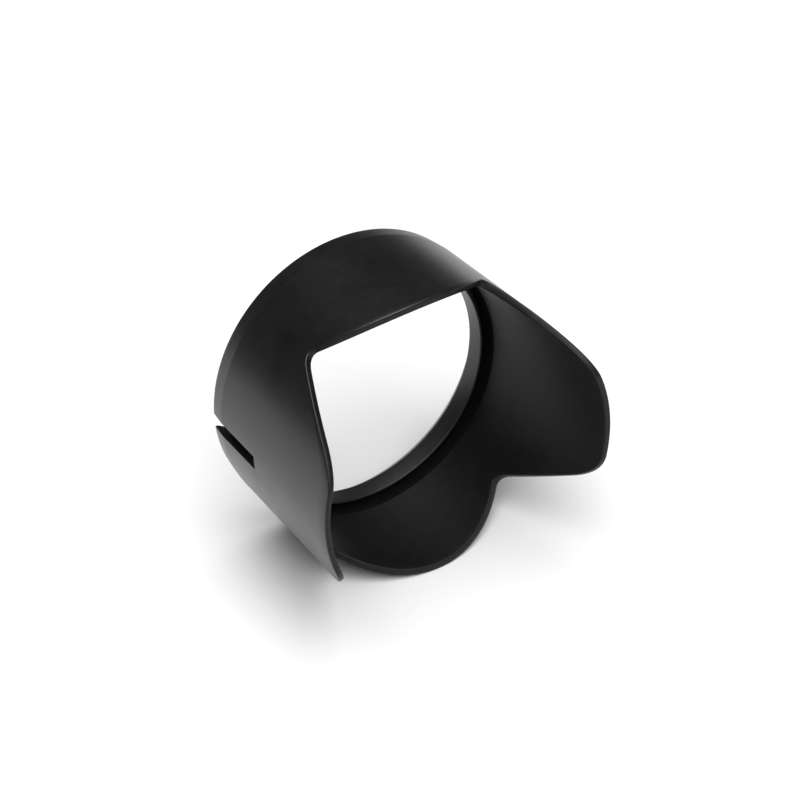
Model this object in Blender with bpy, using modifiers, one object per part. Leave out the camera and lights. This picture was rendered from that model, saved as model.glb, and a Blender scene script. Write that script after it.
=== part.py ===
"""Petal lens hood: a moulded shell, and a captive mount ring that turns in it about the optical axis.

The hood lies on its side, with its two long petals left and right and its two short petals up and down.
The optical axis runs along Y, with the front of the hood at -Y and the lens at +Y. The origin is on the
optical axis, halfway along the hood. Each piece is drawn with its own Z axis on the optical axis, as a
height in front of the rear edge, and one parent empty turns them all into place.
"""

import math

import bmesh
import bpy

MM = 0.001

# Shell, heights measured forward from the rear edge
LONG_PETAL = 51.6 * MM
SHORT_PETAL = 34.8 * MM
REAR_RADIUS = 33.7 * MM
BAND_RADIUS = 34.25 * MM
BAND_HEIGHT = 4.2 * MM
FLARE = 0.042  # growth of the radius per unit of height, in front of the rear band
REAR_WALL = 2.15 * MM  # the wall thins evenly from the ring chamber to the petals' tips
TIP_WALL = 1.4 * MM
EDGE_CHAMFER = 0.15 * MM

# Petal outline: what one petal's edge does round the shell, as a height over an angle
LONG_HALF_ANGLE = math.radians(23.9)  # half the angle of a long petal's flat crest, to the flank
FLANK_SLOPE = 60.0 * MM  # fall of a long petal's flank per radian
SHORT_CROWN = 21.0 * MM  # fall of a short petal's edge per radian squared, from its middle
CREST_ROUNDING = 7.5 * MM
NOTCH_ROUNDING = 5.4 * MM

# Slot in the middle of the long petal at -X, open at the rear edge
SLOT_WIDTH = 3.5 * MM
SLOT_LENGTH = 19.2 * MM

# Lead-in and ring chamber inside the rear of the shell
LEAD_IN_RADIUS = 33.15 * MM
LEAD_IN_HEIGHT = 2.7 * MM
SHOULDER_RADIUS = 31.0 * MM
SHOULDER_THICKNESS = 0.9 * MM
CHAMBER_RADIUS = 32.1 * MM
GROOVE_RADIUS = 32.7 * MM

# Mount ring: a sleeve round the lens's nose, with a flange that runs in the chamber
RING_BORE_RADIUS = 30.2 * MM
RING_SLEEVE_RADIUS = 30.8 * MM
RING_REAR = 3.6 * MM
RING_FRONT = 8.3 * MM
RING_CHAMFER = 0.2 * MM
FLANGE_RADIUS = 31.85 * MM
FLANGE_THICKNESS = 0.7 * MM

# Washer and retaining ring, which hold the flange from behind and in front
WASHER_INNER_RADIUS = 31.0 * MM
WASHER_OUTER_RADIUS = 31.9 * MM
WASHER_THICKNESS = 0.3 * MM
RETAINER_INNER_RADIUS = 31.3 * MM
RETAINER_OUTER_RADIUS = 32.6 * MM
RETAINER_THICKNESS = 0.6 * MM
RETAINER_GAP = 7.0 * MM

PLAY = 0.1 * MM  # gap between neighbouring faces along the axis
SEGMENTS = 72  # facets round a turned piece
OUTLINE_STEPS = 288  # steps round the petal outline
CUTTER_MARGIN = 3.0 * MM
FACET_TURN = math.pi / SEGMENTS  # half a facet, so that a flat facet is lowest

# Heights that follow from the sizes above
CHAMBER_REAR = LEAD_IN_HEIGHT + SHOULDER_THICKNESS
WASHER_REAR = CHAMBER_REAR + PLAY
FLANGE_REAR = WASHER_REAR + WASHER_THICKNESS + PLAY
FLANGE_FRONT = FLANGE_REAR + FLANGE_THICKNESS
RETAINER_REAR = FLANGE_FRONT + PLAY
RETAINER_FRONT = RETAINER_REAR + RETAINER_THICKNESS
BLANK_HEIGHT = LONG_PETAL + CUTTER_MARGIN


def clear_scene():
    """Remove every object of the scene."""
    for obj in list(bpy.data.objects):
        bpy.data.objects.remove(obj, do_unlink=True)


def new_collection(name):
    """Add a collection to the scene."""
    collection = bpy.data.collections.new(name)
    bpy.context.scene.collection.children.link(collection)
    return collection


def plain_material(name, color, roughness, metallic=0.0):
    """Make a Principled material from its three main values."""
    material = bpy.data.materials.new(name)
    material.use_nodes = True
    shader = material.node_tree.nodes["Principled BSDF"]
    shader.inputs["Base Color"].default_value = (*color, 1.0)
    shader.inputs["Roughness"].default_value = roughness
    shader.inputs["Metallic"].default_value = metallic
    return material


def outer_radius(height):
    """Radius of the shell's outer face in front of the rear band."""
    return BAND_RADIUS + FLARE * (height - BAND_HEIGHT)


def inner_radius(height):
    """Radius of the shell's inner face in front of the ring chamber."""
    thinning = (REAR_WALL - TIP_WALL) / (LONG_PETAL - RETAINER_FRONT)
    return outer_radius(height) - REAR_WALL + thinning * (height - RETAINER_FRONT)


def smooth_minimum(first, second, width):
    """Smaller of two heights, with their crossing rounded over a width."""
    overlap = max(width - abs(first - second), 0.0) / width
    return min(first, second) - overlap**2 * width / 4


def smooth_maximum(first, second, width):
    """Larger of two heights, with their crossing rounded over a width."""
    return -smooth_minimum(-first, -second, width)


def petal_edge(angle):
    """Height of the shell's front edge at an angle from the middle of a long petal."""
    from_long = math.acos(abs(math.cos(angle)))
    from_short = math.pi / 2 - from_long
    flank = LONG_PETAL - FLANK_SLOPE * (from_long - LONG_HALF_ANGLE)
    long_petal = smooth_minimum(LONG_PETAL, flank, CREST_ROUNDING)
    short_petal = SHORT_PETAL - SHORT_CROWN * from_short**2
    return smooth_maximum(long_petal, short_petal, NOTCH_ROUNDING)


def turned_piece(name, profile, material, collection, axis_empty):
    """Turn a closed profile of (radius, height) points about the optical axis."""
    mesh = bpy.data.meshes.new(name)
    points = [(radius, 0.0, height) for radius, height in profile]
    edges = [(i, (i + 1) % len(points)) for i in range(len(points))]
    mesh.from_pydata(points, edges, [])
    mesh.materials.append(material)
    piece = bpy.data.objects.new(name, mesh)
    piece.parent = axis_empty
    piece.rotation_euler.z = FACET_TURN
    collection.objects.link(piece)
    screw = piece.modifiers.new("turn", "SCREW")
    screw.axis = "Z"
    screw.steps = SEGMENTS
    screw.render_steps = SEGMENTS
    screw.use_merge_vertices = True
    screw.merge_threshold = 0.00001
    return piece


def box_cutter(name, size, center, collection, axis_empty):
    """Make a box that cuts a slot or a gap."""
    mesh = bpy.data.meshes.new(name)
    box = bmesh.new()
    bmesh.ops.create_cube(box, size=1.0)
    bmesh.ops.scale(box, vec=size, verts=box.verts)
    bmesh.ops.translate(box, vec=center, verts=box.verts)
    box.to_mesh(mesh)
    box.free()
    return place_cutter(name, mesh, collection, axis_empty)


def petal_cutter(collection, axis_empty):
    """Make a turned ring whose lower face follows the petal outline all the way round."""
    inner = CHAMBER_RADIUS - CUTTER_MARGIN
    outer = outer_radius(BLANK_HEIGHT) + CUTTER_MARGIN
    top = BLANK_HEIGHT + CUTTER_MARGIN
    ring = bmesh.new()
    section = [(outer, top), (outer, 0.0), (inner, 0.0), (inner, top)]
    corners = [ring.verts.new((radius, 0.0, height)) for radius, height in section]
    edges = [ring.edges.new((corners[i], corners[i - 1])) for i in range(len(corners))]
    bmesh.ops.spin(
        ring,
        geom=corners + edges,
        axis=(0, 0, 1),
        cent=(0, 0, 0),
        angle=math.tau,
        steps=OUTLINE_STEPS,
        use_merge=True,
    )
    for vertex in ring.verts:
        if vertex.co.z < top / 2:
            vertex.co.z = petal_edge(math.atan2(vertex.co.y, vertex.co.x))
    bmesh.ops.recalc_face_normals(ring, faces=ring.faces)
    mesh = bpy.data.meshes.new("petal_cutter")
    ring.to_mesh(mesh)
    ring.free()
    return place_cutter("petal_cutter", mesh, collection, axis_empty)


def place_cutter(name, mesh, collection, axis_empty):
    """Add a cutter's mesh to the cutters, out of sight."""
    cutter = bpy.data.objects.new(name, mesh)
    cutter.parent = axis_empty
    cutter.hide_render = True
    cutter.display_type = "WIRE"
    collection.objects.link(cutter)
    return cutter


def cut(piece, cutter):
    """Cut a piece with a cutter."""
    boolean = piece.modifiers.new(cutter.name, "BOOLEAN")
    boolean.operation = "DIFFERENCE"
    boolean.solver = "EXACT"
    boolean.object = cutter


def shade_round(pieces):
    """Turn the modifiers into real meshes, smooth on the round faces and sharp at the corners."""
    bpy.context.view_layer.update()
    depsgraph = bpy.context.evaluated_depsgraph_get()
    meshes = [bpy.data.meshes.new_from_object(piece.evaluated_get(depsgraph)) for piece in pieces]
    for piece, mesh in zip(pieces, meshes):
        piece.modifiers.clear()
        piece.data = mesh
        mesh.shade_smooth()
        mesh.set_sharp_from_angle(angle=math.radians(30))


def hood_shell(collection, cutters, axis_empty):
    """Shell with its rear band, lead-in, ring chamber, four petals and slot."""
    profile = [
        (outer_radius(BLANK_HEIGHT), BLANK_HEIGHT),
        (BAND_RADIUS, BAND_HEIGHT),
        (REAR_RADIUS, EDGE_CHAMFER),
        (REAR_RADIUS - EDGE_CHAMFER, 0.0),
        (LEAD_IN_RADIUS, 0.0),
        (SHOULDER_RADIUS, LEAD_IN_HEIGHT),
        (SHOULDER_RADIUS, CHAMBER_REAR),
        (CHAMBER_RADIUS, CHAMBER_REAR),
        (CHAMBER_RADIUS, RETAINER_REAR - PLAY),
        (GROOVE_RADIUS, RETAINER_REAR - PLAY),
        (GROOVE_RADIUS, RETAINER_FRONT + PLAY),
        (inner_radius(RETAINER_FRONT + PLAY), RETAINER_FRONT + PLAY),
        (inner_radius(BLANK_HEIGHT), BLANK_HEIGHT),
    ]
    black_plastic = plain_material("satin_black_plastic", (0.022, 0.022, 0.024), 0.42)
    shell = turned_piece("hood_shell", profile, black_plastic, collection, axis_empty)
    cut(shell, petal_cutter(cutters, axis_empty))
    slot_size = (4 * CUTTER_MARGIN, SLOT_WIDTH, SLOT_LENGTH + CUTTER_MARGIN)
    slot_center = (-BAND_RADIUS, 0.0, (SLOT_LENGTH - CUTTER_MARGIN) / 2)
    cut(shell, box_cutter("slot_cutter", slot_size, slot_center, cutters, axis_empty))
    return shell


def mount_ring(collection, axis_empty):
    """Ring that turns in the shell and holds the lens's nose."""
    profile = [
        (RING_SLEEVE_RADIUS - RING_CHAMFER, RING_FRONT),
        (RING_SLEEVE_RADIUS, RING_FRONT - RING_CHAMFER),
        (RING_SLEEVE_RADIUS, FLANGE_FRONT),
        (FLANGE_RADIUS, FLANGE_FRONT),
        (FLANGE_RADIUS, FLANGE_REAR),
        (RING_SLEEVE_RADIUS, FLANGE_REAR),
        (RING_SLEEVE_RADIUS, RING_REAR),
        (RING_BORE_RADIUS, RING_REAR),
        (RING_BORE_RADIUS, RING_FRONT - RING_CHAMFER),
        (RING_BORE_RADIUS + RING_CHAMFER, RING_FRONT),
    ]
    ring_plastic = plain_material("black_ring_plastic", (0.03, 0.03, 0.032), 0.35)
    return turned_piece("mount_ring", profile, ring_plastic, collection, axis_empty)


def friction_washer(collection, axis_empty):
    """Thin washer between the shell's shoulder and the ring's flange."""
    profile = [
        (WASHER_OUTER_RADIUS, WASHER_REAR + WASHER_THICKNESS),
        (WASHER_OUTER_RADIUS, WASHER_REAR),
        (WASHER_INNER_RADIUS, WASHER_REAR),
        (WASHER_INNER_RADIUS, WASHER_REAR + WASHER_THICKNESS),
    ]
    fibre = plain_material("black_fibre", (0.02, 0.02, 0.02), 0.8)
    return turned_piece("friction_washer", profile, fibre, collection, axis_empty)


def retaining_ring(collection, cutters, axis_empty):
    """Split spring ring in the shell's groove, with its gap at the slot."""
    profile = [
        (RETAINER_OUTER_RADIUS, RETAINER_FRONT),
        (RETAINER_OUTER_RADIUS, RETAINER_REAR),
        (RETAINER_INNER_RADIUS, RETAINER_REAR),
        (RETAINER_INNER_RADIUS, RETAINER_FRONT),
    ]
    spring_steel = plain_material("blackened_spring_steel", (0.03, 0.03, 0.03), 0.45, metallic=0.8)
    ring = turned_piece("retaining_ring", profile, spring_steel, collection, axis_empty)
    gap_size = (4 * CUTTER_MARGIN, RETAINER_GAP, 4 * CUTTER_MARGIN)
    gap_center = (-RETAINER_OUTER_RADIUS, 0.0, RETAINER_REAR)
    cut(ring, box_cutter("retainer_gap_cutter", gap_size, gap_center, cutters, axis_empty))
    return ring


def main():
    clear_scene()
    parts = new_collection("lens_hood")
    cutters = new_collection("cutters")
    axis_empty = bpy.data.objects.new("optical_axis", None)
    axis_empty.location = (0.0, LONG_PETAL / 2, 0.0)
    axis_empty.rotation_euler = (math.pi / 2, 0.0, 0.0)
    parts.objects.link(axis_empty)
    shade_round(
        [
            hood_shell(parts, cutters, axis_empty),
            mount_ring(parts, axis_empty),
            friction_washer(parts, axis_empty),
            retaining_ring(parts, cutters, axis_empty),
        ]
    )


main()
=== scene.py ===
"""Looks of the petal lens hood: a moulded black shell and the captive ring that turns inside it.

Every piece is drawn round the optical axis by radius, angle and height. A height is measured forward from
the shell's rear edge. The row frame has the axis along Y, with the front of the hood at -Y.
"""

import math

import bmesh
import bpy
from mathutils import Matrix, Vector

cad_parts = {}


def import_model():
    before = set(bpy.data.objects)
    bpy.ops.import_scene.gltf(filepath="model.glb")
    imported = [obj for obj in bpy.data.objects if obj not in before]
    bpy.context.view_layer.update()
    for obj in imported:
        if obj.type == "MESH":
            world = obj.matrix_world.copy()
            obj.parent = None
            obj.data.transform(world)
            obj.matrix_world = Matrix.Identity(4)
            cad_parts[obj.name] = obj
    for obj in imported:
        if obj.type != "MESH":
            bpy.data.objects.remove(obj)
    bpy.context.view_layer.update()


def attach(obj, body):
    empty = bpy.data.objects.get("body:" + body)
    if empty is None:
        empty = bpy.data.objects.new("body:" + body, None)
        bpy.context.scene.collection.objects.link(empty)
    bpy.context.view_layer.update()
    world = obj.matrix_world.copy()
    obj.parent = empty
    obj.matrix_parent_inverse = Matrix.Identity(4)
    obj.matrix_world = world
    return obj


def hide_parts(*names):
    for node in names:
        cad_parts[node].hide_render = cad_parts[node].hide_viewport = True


MM = 0.001

# Shell
LONG_PETAL = 51.6 * MM
SHORT_PETAL = 34.8 * MM
REAR_RADIUS = 33.7 * MM
BAND_RADIUS = 34.25 * MM
BAND_HEIGHT = 4.2 * MM
FLARE = 0.042
REAR_WALL = 2.15 * MM
TIP_WALL = 1.4 * MM
EDGE_ROUNDING = 0.15 * MM
RIM_ROUNDING = 0.35 * MM
LONG_HALF_ANGLE = math.radians(23.9)
FLANK_SLOPE = 60.0 * MM
SHORT_CROWN = 21.0 * MM
CREST_ROUNDING = 7.5 * MM
NOTCH_ROUNDING = 5.4 * MM
SLOT_WIDTH = 3.5 * MM
SLOT_LENGTH = 19.2 * MM
LEAD_IN_RADIUS = 33.15 * MM
LEAD_IN_HEIGHT = 2.7 * MM
LEAD_IN_CORNER = ((-0.1 * MM, 0.12 * MM), (0.0, 0.03 * MM), (0.1 * MM, 0.0))  # (radius from it, height)
SHOULDER_RADIUS = 31.0 * MM
CHAMBER_REAR = 3.6 * MM
CHAMBER_RADIUS = 32.1 * MM
GROOVE_RADIUS = 32.7 * MM
GROOVE_REAR = 4.8 * MM
GROOVE_FRONT = 5.6 * MM

# Mount ring
RING_BORE_RADIUS = 30.2 * MM
RING_SLEEVE_RADIUS = 30.8 * MM
RING_REAR = 3.6 * MM
RING_FRONT = 8.3 * MM
FLANGE_RADIUS = 31.85 * MM
FLANGE_REAR = 4.1 * MM
FLANGE_FRONT = 4.8 * MM
RING_ROUNDING = 0.18 * MM

# Friction washer
WASHER_INNER_RADIUS = 31.0 * MM
WASHER_OUTER_RADIUS = 31.9 * MM
WASHER_REAR = 3.7 * MM
WASHER_FRONT = 4.0 * MM
WASHER_ROUNDING = 0.05 * MM

# Spring clip, a ring with a gap in line with the slot
CLIP_INNER_RADIUS = 31.3 * MM
CLIP_OUTER_RADIUS = 32.6 * MM
CLIP_REAR = 4.9 * MM
CLIP_FRONT = 5.5 * MM
CLIP_ROUNDING = 0.12 * MM
CLIP_HALF_GAP = math.asin(3.5 / 32.0)  # 3.5 mm at the middle of the clip's section

# Finishes of the shell: satin outside, matt inside, and in the gap round the mount ring a near-black, dull
# finish that is painted shade, standing for the darkness deep in that recess
OUTER, INNER, PAINTED_SHADE = range(3)
# Height up to which the shell's inner wall carries the painted shade of the ring gap
PAINTED_SHADE_FRONT = 10.3 * MM
SATIN_RIM_STEPS = 2  # the matt finish starts this many steps into the rim's outer rounding

# Shares of edge wear
NO_WEAR = 0.0
LEAD_IN_WEAR = 0.3
REAR_WEAR = 0.8
RIM_WEAR = 1.0

# Heights of the rows of the shell's mesh that lie behind the petals
OUTER_ROWS = [row * MM for row in (1.5, 2.8, 3.9, 4.2, 4.5, 6, 8, 10, 12, 14, 16, 18, 19.2, 20.4, 22)]
INNER_ROWS = [row * MM for row in (7, 8.5, 10.3, 11.2, 12.6, 14, 16, 18, 19.2, 20.4, 22)]
HIGHEST_ROW = 22.0 * MM
ROWS_ABOVE = 9

SLOT_ANGLE = math.pi  # the slot is in the middle of the long petal at -X
SLOT_HALF_ANGLE = math.asin(SLOT_WIDTH / 2 / BAND_RADIUS)
SLOT_COLUMNS = 6
SLOT_REGION = math.radians(40)  # the columns run side by side at the slot and fan out within this angle
SHELL_COLUMNS = 900
RING_COLUMNS = 360
CORNER_STEPS = 4
SHARP_ANGLE = math.radians(32)

# Scales of the plastics' noise, in cells per metre, and the ratio of coarse to fine grain
PATCH_SCALE = 55.0
MOTTLE_SCALE = 420.0
COARSE_RATIO = 3.5

# Set: a table, a dim room and two large soft lights, each a direction, a strength and the angles in degrees
# from its middle at which it has faded out and at which it is full
TABLE_RADIUS = 0.8
RESTING_TILT = math.atan(FLARE)  # the hood lies on the lowest line of its flared face
AMBIENT = 0.06
KEY_LIGHT = ((-0.14, -0.60, 0.79), 5.0, 33, 10)
OVERHEAD_LIGHT = ((0.05, 0.05, 1.0), 3.8, 36, 8)

# Camera
CAMERA_FOCUS = Vector((0.00014, 0.00251, 0.00367))
CAMERA_AZIMUTH = -28.77
CAMERA_ELEVATION = 35.57
CAMERA_ROLL = -5.28
CAMERA_DISTANCE = 1.0894
CAMERA_LENS = 225.0


def outer_radius(height):
    """Radius of the shell's outer face, with the low crease at the front of the rear band."""
    body = BAND_RADIUS + FLARE * (height - BAND_HEIGHT)
    band = BAND_RADIUS + (BAND_RADIUS - REAR_RADIUS) / (BAND_HEIGHT - EDGE_ROUNDING) * (height - BAND_HEIGHT)
    return min(body, band)


def inner_radius(height):
    """Radius of the shell's inner face in front of the ring chamber."""
    share = (height - GROOVE_FRONT) / (LONG_PETAL - GROOVE_FRONT)
    return BAND_RADIUS + FLARE * (height - BAND_HEIGHT) - REAR_WALL + (REAR_WALL - TIP_WALL) * share


def smooth_minimum(first, second, width):
    """Smaller of two heights, with their crossing rounded over a width."""
    overlap = max(width - abs(first - second), 0.0) / width
    return min(first, second) - overlap**2 * width / 4


def petal_edge(angle):
    """Height of the shell's front edge at an angle from the middle of a long petal."""
    from_long = math.acos(abs(math.cos(angle)))
    from_short = math.pi / 2 - from_long
    flank = LONG_PETAL - FLANK_SLOPE * (from_long - LONG_HALF_ANGLE)
    long_petal = smooth_minimum(LONG_PETAL, flank, CREST_ROUNDING)
    short_petal = SHORT_PETAL - SHORT_CROWN * from_short**2
    return -smooth_minimum(-long_petal, -short_petal, NOTCH_ROUNDING)


def edge_stretch(angle):
    """How much longer a height is than its distance square to the sloping front edge."""
    step = 0.002
    slope = (petal_edge(angle + step) - petal_edge(angle - step)) / (2 * step * BAND_RADIUS)
    return math.hypot(1.0, slope)


def axis_point(radius, angle, height):
    """Point of the row frame at a radius, angle and height about the optical axis."""
    return (radius * math.cos(angle), LONG_PETAL / 2 - height, radius * math.sin(angle))


def corner_arc(center, radius, start, end):
    """Points of an arc in the (radius, height) plane, from one angle in degrees to another."""
    points = []
    for step in range(CORNER_STEPS + 1):
        turn = math.radians(start + (end - start) * step / CORNER_STEPS)
        points.append((center[0] + radius * math.cos(turn), center[1] + radius * math.sin(turn)))
    return points


def shell_section(angle):
    """Closed section of the shell at one angle, as (radius, height, share of edge wear, finish) points.

    It runs up the outer face, over the front edge, down the inner face and back round the rear edge. A
    point's finish is that of the face up to the next point.
    """
    top = petal_edge(angle)
    rim_drop = RIM_ROUNDING * edge_stretch(angle)
    rim_start = top - rim_drop
    rise = (rim_start - HIGHEST_ROW) / ROWS_ABOVE
    high_rows = [HIGHEST_ROW + rise * step for step in range(1, ROWS_ABOVE)]
    rear = corner_arc((REAR_RADIUS - EDGE_ROUNDING, EDGE_ROUNDING), EDGE_ROUNDING, -90, 0)
    points = [(radius, height, REAR_WEAR, OUTER) for radius, height in rear]
    points += [(outer_radius(row), row, NO_WEAR, OUTER) for row in OUTER_ROWS + high_rows]
    outer_rim = outer_radius(top) - RIM_ROUNDING
    for step in range(CORNER_STEPS + 1):
        turn = math.pi / 2 * step / CORNER_STEPS
        finish = OUTER if step < SATIN_RIM_STEPS else INNER
        radius = outer_rim + RIM_ROUNDING * math.cos(turn)
        points.append((radius, rim_start + rim_drop * math.sin(turn), RIM_WEAR, finish))
    inner_rim = inner_radius(top) + RIM_ROUNDING
    for step in range(CORNER_STEPS + 1):
        turn = math.pi / 2 * (1 + step / CORNER_STEPS)
        radius = inner_rim + RIM_ROUNDING * math.cos(turn)
        points.append((radius, rim_start + rim_drop * math.sin(turn), RIM_WEAR, INNER))
    # Inner rows up to the painted-shade front, and the ring chamber and groove below them, take the painted
    # shade of the recess
    for row in reversed(INNER_ROWS + high_rows):
        points.append((inner_radius(row), row, NO_WEAR, INNER if row > PAINTED_SHADE_FRONT else PAINTED_SHADE))
    points += [
        (inner_radius(GROOVE_FRONT), GROOVE_FRONT, NO_WEAR, PAINTED_SHADE),
        (GROOVE_RADIUS, GROOVE_FRONT, NO_WEAR, PAINTED_SHADE),
        (GROOVE_RADIUS, GROOVE_REAR, NO_WEAR, PAINTED_SHADE),
        (CHAMBER_RADIUS, GROOVE_REAR, NO_WEAR, PAINTED_SHADE),
        (CHAMBER_RADIUS, CHAMBER_REAR, NO_WEAR, PAINTED_SHADE),
        (SHOULDER_RADIUS, CHAMBER_REAR, NO_WEAR, OUTER),
        (SHOULDER_RADIUS, LEAD_IN_HEIGHT, LEAD_IN_WEAR, OUTER),
    ]
    for (beyond, height), wear in zip(LEAD_IN_CORNER, (LEAD_IN_WEAR, REAR_WEAR, REAR_WEAR)):
        points.append((LEAD_IN_RADIUS + beyond, height, wear, OUTER))
    return points


def column_angle(from_slot, radius):
    """Angle from the slot's middle at a radius.

    Near the slot the columns run side by side, as the slot's walls do.
    """
    if abs(from_slot) > SLOT_REGION:
        return from_slot
    near = (abs(from_slot) - SLOT_HALF_ANGLE) / (SLOT_REGION - SLOT_HALF_ANGLE)
    near = min(max(near, 0.0), 1.0)
    blend = near * near * (3 - 2 * near)
    parallel = math.asin(BAND_RADIUS * math.sin(from_slot) / radius)
    return parallel + (from_slot - parallel) * blend


def is_in_slot(height):
    """Whether a row of the shell is in the slot, its front end included."""
    return height < SLOT_LENGTH + 0.01 * MM


def finished_mesh(shape, name):
    """Mesh of a bmesh, with its normals outward, smooth on the round faces and sharp at the corners."""
    bmesh.ops.recalc_face_normals(shape, faces=shape.faces)
    mesh = bpy.data.meshes.new(name)
    shape.to_mesh(mesh)
    shape.free()
    mesh.shade_smooth()
    mesh.set_sharp_from_angle(angle=SHARP_ANGLE)
    return mesh


def add_piece(name, mesh, materials, body, node):
    """Place a piece that stands for a CAD node and moves with its body."""
    for material in materials:
        mesh.materials.append(material)
    piece = bpy.data.objects.new(name, mesh)
    bpy.context.scene.collection.objects.link(piece)
    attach(piece, body)
    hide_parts(node)


def shell_mesh():
    """The whole shell in one skin: outer and inner faces, rounded edges, ring chamber and slot."""
    shape = bmesh.new()
    wear = shape.verts.layers.float.new("edge_wear")
    in_slot = [SLOT_HALF_ANGLE * (2 * step / SLOT_COLUMNS - 1) for step in range(SLOT_COLUMNS + 1)]
    around = 2 * (math.pi - SLOT_HALF_ANGLE)
    beyond = [SLOT_HALF_ANGLE + around * step / SHELL_COLUMNS for step in range(1, SHELL_COLUMNS)]
    columns = []
    sections = []
    for from_slot in in_slot + beyond:
        wrapped = from_slot if from_slot <= math.pi else from_slot - math.tau
        section = shell_section(SLOT_ANGLE + wrapped)
        column = []
        for radius, height, share, finish in section:
            angle = SLOT_ANGLE + column_angle(wrapped, radius)
            vertex = shape.verts.new(axis_point(radius, angle, height))
            vertex[wear] = share
            column.append(vertex)
        columns.append(column)
        sections.append(section)
    rows = len(sections[0])
    open_rows = [is_in_slot(point[1]) for point in sections[0]]
    for number, column in enumerate(columns):
        following = columns[(number + 1) % len(columns)]
        for row in range(rows):
            above = (row + 1) % rows
            if number < SLOT_COLUMNS and open_rows[row] and open_rows[above]:
                continue
            face = shape.faces.new((column[row], column[above], following[above], following[row]))
            face.material_index = sections[number][row][3]
    front_outer = next(row for row in range(rows) if open_rows[row] and not open_rows[row + 1])
    front_inner = next(row for row in range(front_outer + 1, rows) if open_rows[row])
    open_ring = list(range(front_inner, rows)) + list(range(0, front_outer + 1))
    shape.faces.new([columns[0][row] for row in open_ring])
    shape.faces.new([columns[SLOT_COLUMNS][row] for row in reversed(open_ring)])
    for number in range(SLOT_COLUMNS):
        first, second = columns[number], columns[number + 1]
        shape.faces.new((first[front_outer], second[front_outer], second[front_inner], first[front_inner]))
    spare = [v for number in range(1, SLOT_COLUMNS) for v in columns[number] if not v.link_faces]
    bmesh.ops.delete(shape, geom=spare, context="VERTS")
    return finished_mesh(shape, "hood_shell_skin")


def rounded_section(corners, rounding):
    """Closed (radius, height) section with every corner rounded, for corners given in order."""
    points = []
    for index, corner in enumerate(corners):
        here = Vector(corner)
        before = (Vector(corners[index - 1]) - here).normalized()
        after = (Vector(corners[(index + 1) % len(corners)]) - here).normalized()
        for step in range(CORNER_STEPS + 1):
            share = step / CORNER_STEPS
            start = here + before * rounding * (1 - share) ** 2
            points.append(tuple(start + after * rounding * share**2))
    return points


def turned_mesh(name, section, first=0.0, last=math.tau):
    """Turn a closed section about the optical axis, all the way round or from one angle to another."""
    shape = bmesh.new()
    closed = last - first >= math.tau
    rings = []
    for number in range(RING_COLUMNS if closed else RING_COLUMNS + 1):
        angle = first + (last - first) * number / RING_COLUMNS
        rings.append([shape.verts.new(axis_point(radius, angle, height)) for radius, height in section])
    pairs = list(zip(rings, rings[1:]))
    if closed:
        pairs.append((rings[-1], rings[0]))
    for ring, following in pairs:
        for row in range(len(section)):
            above = (row + 1) % len(section)
            shape.faces.new((ring[row], ring[above], following[above], following[row]))
    if not closed:
        shape.faces.new(rings[0])
        shape.faces.new(list(reversed(rings[-1])))
    return finished_mesh(shape, name)


class Nodes:
    """Short way to add shader nodes and link them."""

    def __init__(self, tree):
        self.tree = tree

    def add(self, kind, settings=None, inputs=None):
        node = self.tree.nodes.new(kind)
        for name, value in (settings or {}).items():
            setattr(node, name, value)
        for name, value in (inputs or {}).items():
            if isinstance(value, bpy.types.NodeSocket):
                self.tree.links.new(value, node.inputs[name])
            else:
                node.inputs[name].default_value = value
        return node

    def noise(self, coordinates, scale, detail, roughness=0.55):
        values = {"Vector": coordinates, "Scale": scale, "Detail": detail, "Roughness": roughness}
        return self.add("ShaderNodeTexNoise", inputs=values).outputs["Fac"]

    def spread(self, value, low, high, to_low, to_high):
        values = {0: value, 1: low, 2: high, 3: to_low, 4: to_high}
        return self.add("ShaderNodeMapRange", inputs=values).outputs[0]

    def math(self, operation, first, second):
        return self.add("ShaderNodeMath", {"operation": operation}, {0: first, 1: second}).outputs[0]

    def mixed_color(self, factor, first, second):
        node = self.add("ShaderNodeMix", {"data_type": "RGBA"}, {0: factor, 6: first, 7: second})
        return node.outputs[2]


def plastic(name, dark, pale, worn, roughness, grain, grain_depth, specular=0.5):
    """Moulded plastic: patchy tone, fine grain, uneven gloss and slightly worn edges.

    Its tone runs from dark to pale, and towards worn where the mesh's edge wear is. The grain is a scale in
    cells per metre and a depth in metres.
    """
    material = bpy.data.materials.new(name)
    material.use_nodes = True
    nodes = Nodes(material.node_tree)
    shader = material.node_tree.nodes["Principled BSDF"]
    place = nodes.add("ShaderNodeTexCoord").outputs["Object"]
    patches = nodes.noise(place, PATCH_SCALE, 4.0)
    mottle = nodes.noise(place, MOTTLE_SCALE, 3.0)
    fine = nodes.noise(place, grain, 2.0, 0.6)
    coarse = nodes.noise(place, grain / COARSE_RATIO, 2.0, 0.5)
    tone = nodes.spread(nodes.math("ADD", patches, mottle), 0.75, 1.25, 0.0, 1.0)
    base = nodes.mixed_color(tone, (*dark, 1.0), (*pale, 1.0))
    edge = nodes.add("ShaderNodeAttribute", {"attribute_name": "edge_wear"}).outputs["Fac"]
    wear = nodes.math("MULTIPLY", edge, nodes.spread(mottle, 0.35, 0.7, 0.1, 0.9))
    color = nodes.mixed_color(wear, base, (*worn, 1.0))
    gloss = nodes.spread(patches, 0.3, 0.7, roughness - 0.025, roughness + 0.035)
    relief = nodes.math("ADD", fine, nodes.math("MULTIPLY", coarse, 0.6))
    bump_inputs = {"Height": relief, "Distance": grain_depth, "Strength": 0.6}
    bump = nodes.add("ShaderNodeBump", inputs=bump_inputs)
    links = material.node_tree.links
    links.new(color, shader.inputs["Base Color"])
    links.new(gloss, shader.inputs["Roughness"])
    links.new(bump.outputs["Normal"], shader.inputs["Normal"])
    shader.inputs["Specular IOR Level"].default_value = specular
    return material


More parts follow.
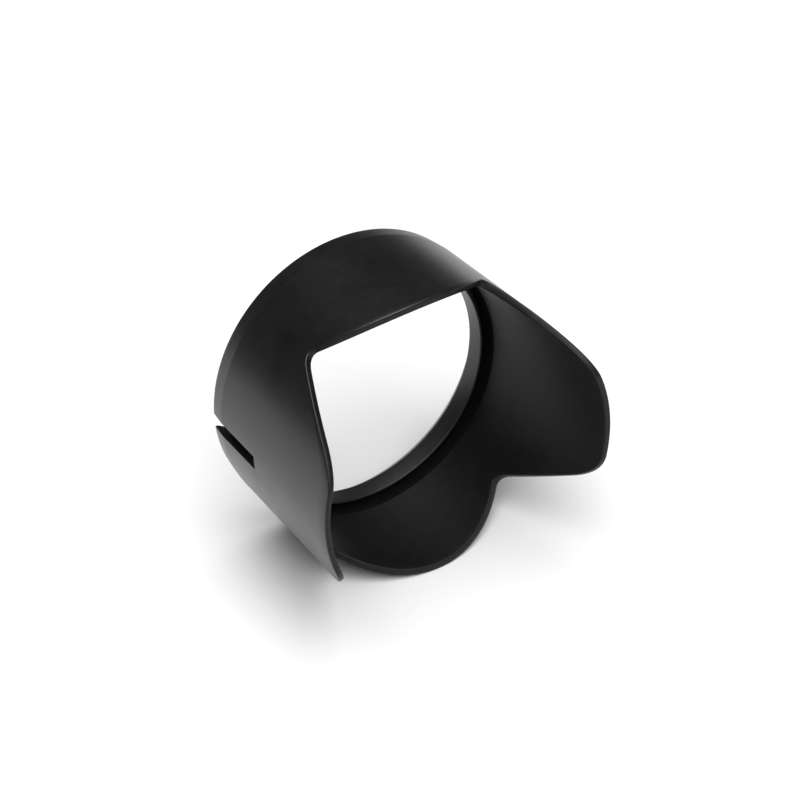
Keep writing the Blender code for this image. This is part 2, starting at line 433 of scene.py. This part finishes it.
def spring_steel(name):
    """Blackened spring steel, unevenly dark."""
    material = plastic(name, (0.02, 0.02, 0.022), (0.05, 0.05, 0.052), (0.2, 0.2, 0.2), 0.42, 2500.0, 4e-6)
    material.node_tree.nodes["Principled BSDF"].inputs["Metallic"].default_value = 0.8
    return material


def table(lowest):
    """Pale round table under the hood's lowest point, tilted as the flared hood lies on it."""
    shape = bmesh.new()
    bmesh.ops.create_circle(shape, cap_ends=True, segments=128, radius=TABLE_RADIUS)
    mesh = bpy.data.meshes.new("table")
    shape.to_mesh(mesh)
    shape.free()
    top = bpy.data.objects.new("table", mesh)
    top.matrix_world = Matrix.Translation(lowest) @ Matrix.Rotation(RESTING_TILT, 4, "X")
    bpy.context.scene.collection.objects.link(top)
    material = bpy.data.materials.new("pale_table")
    material.use_nodes = True
    nodes = Nodes(material.node_tree)
    shader = material.node_tree.nodes["Principled BSDF"]
    place = nodes.add("ShaderNodeTexCoord").outputs["Object"]
    tone = nodes.noise(place, 3.0, 2.0)
    color = nodes.mixed_color(tone, (0.80, 0.80, 0.80, 1.0), (0.84, 0.84, 0.84, 1.0))
    material.node_tree.links.new(color, shader.inputs["Base Color"])
    shader.inputs["Roughness"].default_value = 0.55
    shader.inputs["Specular IOR Level"].default_value = 0.3
    mesh.materials.append(material)


def room(ambient, lights):
    """Dim room with large soft lights, which the camera sees as white."""
    world = bpy.data.worlds.new("studio")
    bpy.context.scene.world = world
    world.use_nodes = True
    nodes = Nodes(world.node_tree)
    background = world.node_tree.nodes["Background"]
    toward = nodes.add("ShaderNodeTexCoord").outputs["Generated"]
    total = ambient
    for direction, strength, widest, narrowest in lights:
        middle = Vector(direction).normalized()
        dot = nodes.add("ShaderNodeVectorMath", {"operation": "DOT_PRODUCT"}, {0: toward, 1: middle})
        edges = (math.cos(math.radians(widest)), math.cos(math.radians(narrowest)))
        total = nodes.math("ADD", nodes.spread(dot.outputs["Value"], *edges, 0.0, strength), total)
    seen = nodes.add("ShaderNodeLightPath").outputs["Is Camera Ray"]
    shown = nodes.add("ShaderNodeMix", {"data_type": "FLOAT"}, {0: seen, 2: total, 3: 1.0}).outputs[0]
    background.inputs["Color"].default_value = (1.0, 1.0, 1.0, 1.0)
    world.node_tree.links.new(shown, background.inputs["Strength"])


def camera(focus, azimuth, elevation, roll, distance, lens):
    """Camera that looks at a point from an azimuth and an elevation in degrees."""
    data = bpy.data.cameras.new("camera")
    data.lens = lens
    data.sensor_width = 36.0
    data.clip_start = 0.05
    data.clip_end = 20.0
    holder = bpy.data.objects.new("camera", data)
    turn = Matrix.Rotation(math.radians(azimuth), 4, "Z")
    tilt = Matrix.Rotation(math.radians(90 - elevation), 4, "X")
    spin = Matrix.Rotation(math.radians(roll), 4, "Z")
    facing = turn @ tilt
    away = facing @ Vector((0.0, 0.0, distance))
    holder.matrix_world = Matrix.Translation(focus + away) @ facing @ spin
    bpy.context.scene.collection.objects.link(holder)
    bpy.context.scene.camera = holder


def main():
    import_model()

    shell_black = plastic(
        "shell_black_plastic",
        dark=(0.004, 0.004, 0.0043),
        pale=(0.008, 0.008, 0.0085),
        worn=(0.010, 0.010, 0.010),
        roughness=0.32,
        grain=5200.0,
        grain_depth=1.6e-5,
    )
    inner_black = plastic(
        "inner_matt_black",
        dark=(0.003, 0.003, 0.0032),
        pale=(0.006, 0.006, 0.0064),
        worn=(0.008, 0.008, 0.008),
        roughness=0.46,
        grain=4600.0,
        grain_depth=2e-5,
        specular=0.25,
    )
    # Painted shade: darker and duller than the inner black, put on the gap round the mount ring to stand for
    # the shade deep in that recess
    painted_shade_black = plastic(
        "painted_gap_shade_black",
        dark=(0.002, 0.002, 0.002),
        pale=(0.003, 0.003, 0.003),
        worn=(0.004, 0.004, 0.004),
        roughness=0.85,
        grain=4000.0,
        grain_depth=2e-5,
        specular=0.1,
    )
    shell_finishes = [shell_black, inner_black, painted_shade_black]
    add_piece("shell", shell_mesh(), shell_finishes, "hood", "hood_shell")

    ring_black = plastic(
        "ring_black_plastic",
        dark=(0.011, 0.011, 0.0115),
        pale=(0.018, 0.018, 0.0185),
        worn=(0.04, 0.04, 0.04),
        roughness=0.36,
        grain=7000.0,
        grain_depth=6e-6,
    )
    ring_corners = [
        (RING_SLEEVE_RADIUS, RING_FRONT),
        (RING_SLEEVE_RADIUS, FLANGE_FRONT),
        (FLANGE_RADIUS, FLANGE_FRONT),
        (FLANGE_RADIUS, FLANGE_REAR),
        (RING_SLEEVE_RADIUS, FLANGE_REAR),
        (RING_SLEEVE_RADIUS, RING_REAR),
        (RING_BORE_RADIUS, RING_REAR),
        (RING_BORE_RADIUS, RING_FRONT),
    ]
    ring = turned_mesh("mount_ring_skin", rounded_section(ring_corners, RING_ROUNDING))
    add_piece("inner_ring", ring, [ring_black], "ring", "mount_ring")

    washer_black = plastic(
        "washer_black_fibre",
        dark=(0.014, 0.014, 0.014),
        pale=(0.03, 0.03, 0.03),
        worn=(0.05, 0.05, 0.05),
        roughness=0.8,
        grain=4000.0,
        grain_depth=3e-5,
    )
    washer_corners = [
        (WASHER_OUTER_RADIUS, WASHER_FRONT),
        (WASHER_OUTER_RADIUS, WASHER_REAR),
        (WASHER_INNER_RADIUS, WASHER_REAR),
        (WASHER_INNER_RADIUS, WASHER_FRONT),
    ]
    washer = turned_mesh("washer_skin", rounded_section(washer_corners, WASHER_ROUNDING))
    add_piece("washer", washer, [washer_black], "hood", "friction_washer")

    clip_corners = [
        (CLIP_OUTER_RADIUS, CLIP_FRONT),
        (CLIP_OUTER_RADIUS, CLIP_REAR),
        (CLIP_INNER_RADIUS, CLIP_REAR),
        (CLIP_INNER_RADIUS, CLIP_FRONT),
    ]
    clip_ends = (SLOT_ANGLE + CLIP_HALF_GAP, SLOT_ANGLE + math.tau - CLIP_HALF_GAP)
    clip = turned_mesh("clip_skin", rounded_section(clip_corners, CLIP_ROUNDING), *clip_ends)
    clip_steel = spring_steel("spring_steel_black")
    add_piece("spring_clip", clip, [clip_steel], "hood", "retaining_ring")

    table(Vector((0.0, LONG_PETAL / 2 - BAND_HEIGHT, -BAND_RADIUS)))
    room(AMBIENT, [KEY_LIGHT, OVERHEAD_LIGHT])
    camera(CAMERA_FOCUS, CAMERA_AZIMUTH, CAMERA_ELEVATION, CAMERA_ROLL, CAMERA_DISTANCE, CAMERA_LENS)

    scene = bpy.context.scene
    scene.view_settings.view_transform = "Standard"
    scene.view_settings.look = "None"
    scene.view_settings.exposure = 0.0


main()
